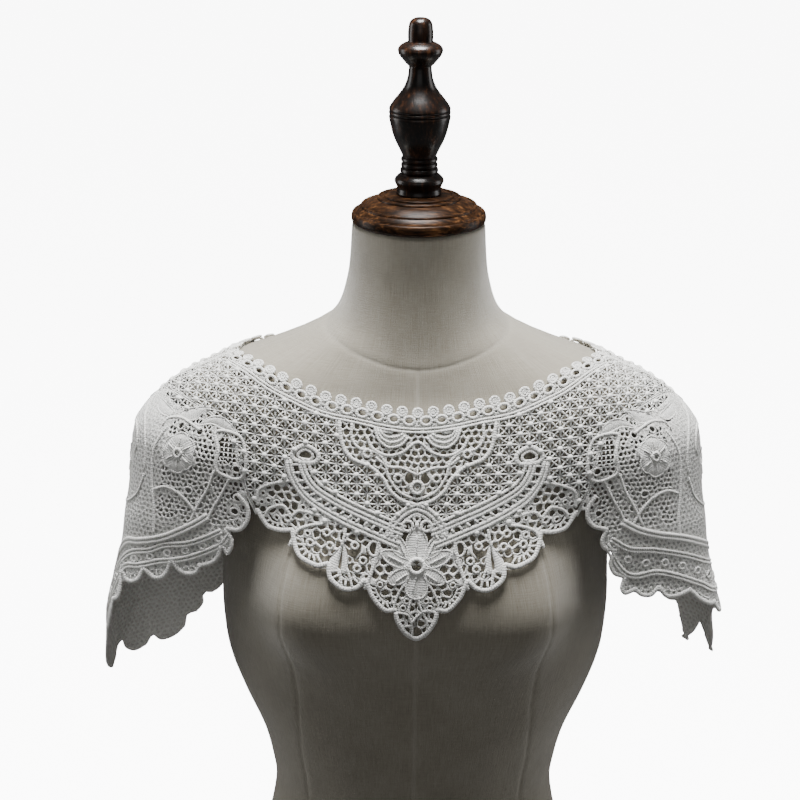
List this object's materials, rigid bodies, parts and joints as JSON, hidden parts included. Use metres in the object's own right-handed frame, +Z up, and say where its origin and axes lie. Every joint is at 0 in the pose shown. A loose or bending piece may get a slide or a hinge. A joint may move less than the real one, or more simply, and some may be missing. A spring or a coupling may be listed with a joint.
{
  "type": "lace collar on dress form",
  "caption": "White guipure lace collar with pointed front, back and shoulders, worn on a limbless linen dress form with a turned wooden neck cap and finial.",
  "frame": {"origin": "centre of the form's flat underside", "axes": "+Z up along the neck, -Y out of the chest, +X to the viewer's right seen from the front"},
  "size_m": [0.5308, 0.2413, 0.855],
  "materials": {
    "linen": "matt plain woven linen, greige",
    "cap_wood": "polished dark brown, grain showing",
    "finial_wood": "glossy, very dark brown",
    "lace": "matt off-white embroidery thread"
  },
  "bodies": {
    "root": {"form_body": "linen", "form_neck_cap": "cap_wood", "form_finial": "finial_wood", "lace_front": "lace", "lace_back": "lace", "lace_shoulder_left": "lace", "lace_shoulder_right": "lace"}
  },
  "joints": []
}
